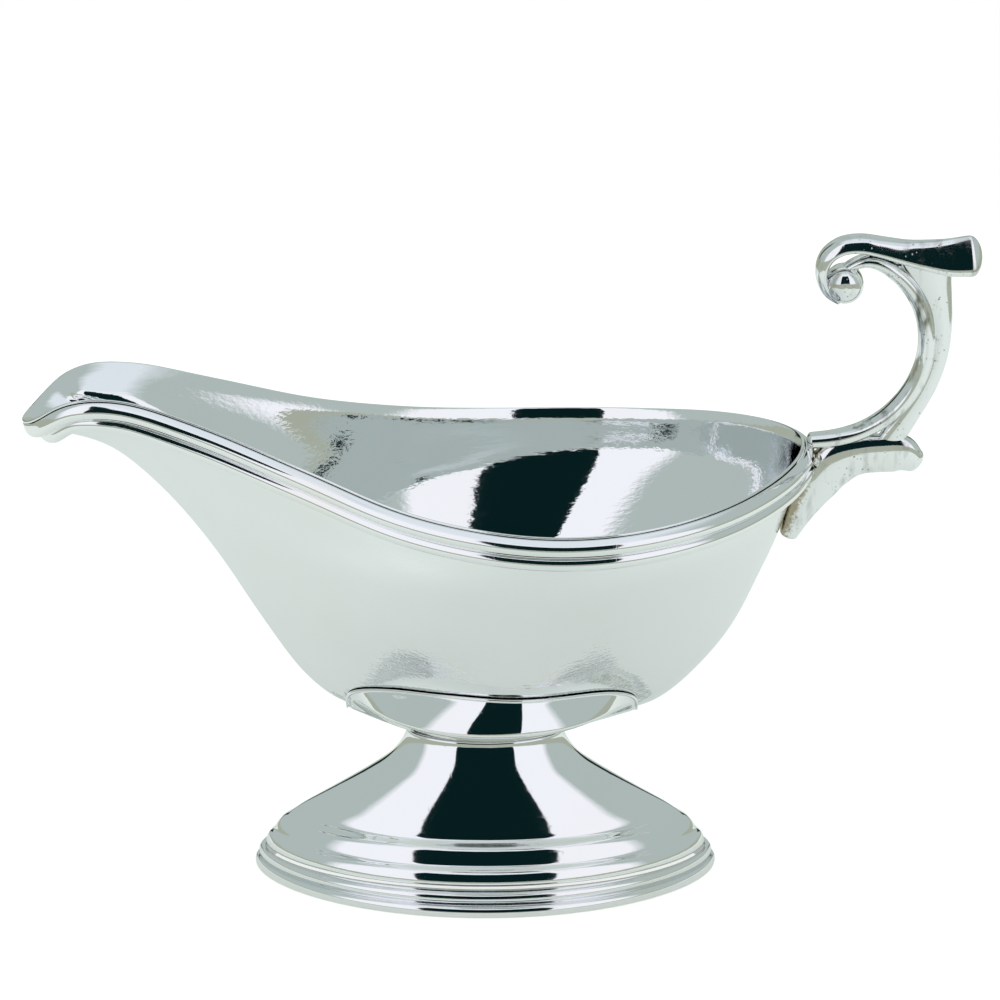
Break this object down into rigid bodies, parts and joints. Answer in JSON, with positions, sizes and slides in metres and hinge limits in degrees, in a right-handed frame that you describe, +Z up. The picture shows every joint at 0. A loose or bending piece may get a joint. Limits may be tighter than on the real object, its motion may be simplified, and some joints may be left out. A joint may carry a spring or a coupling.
{
  "type": "sauce pot",
  "caption": "Oval pedestal sauce boat in polished silver plate, with an open bowl, long pouring lip, reeded rim, stepped foot and a scrolled handle with thumb leaf.",
  "frame": {"origin": "centre of the bounding box in plan, on the surface the foot stands on", "axes": "+X towards the handle, pouring lip at -X, +Z up, mirror-symmetric about the XZ plane"},
  "size_m": [0.2174, 0.0952, 0.1551],
  "materials": {
    "bowl_sheet": "silver plate, mirror polish with fine wiping scratches",
    "foot_sheet": "silver plate, mirror polish",
    "drawn_wire": "silver plate, mirror polish, darker in the grooves",
    "casting": "silver plate, polished casting with small pits, toned beside the solder"
  },
  "bodies": {
    "root": {"bowl": "bowl_sheet", "rim_moulding": "drawn_wire", "collar": "foot_sheet", "foot": "foot_sheet", "foot_wire": "drawn_wire", "handle_scroll": "casting", "handle_root": "casting", "thumb_leaf": "casting", "volute_ball": "casting"}
  },
  "joints": []
}
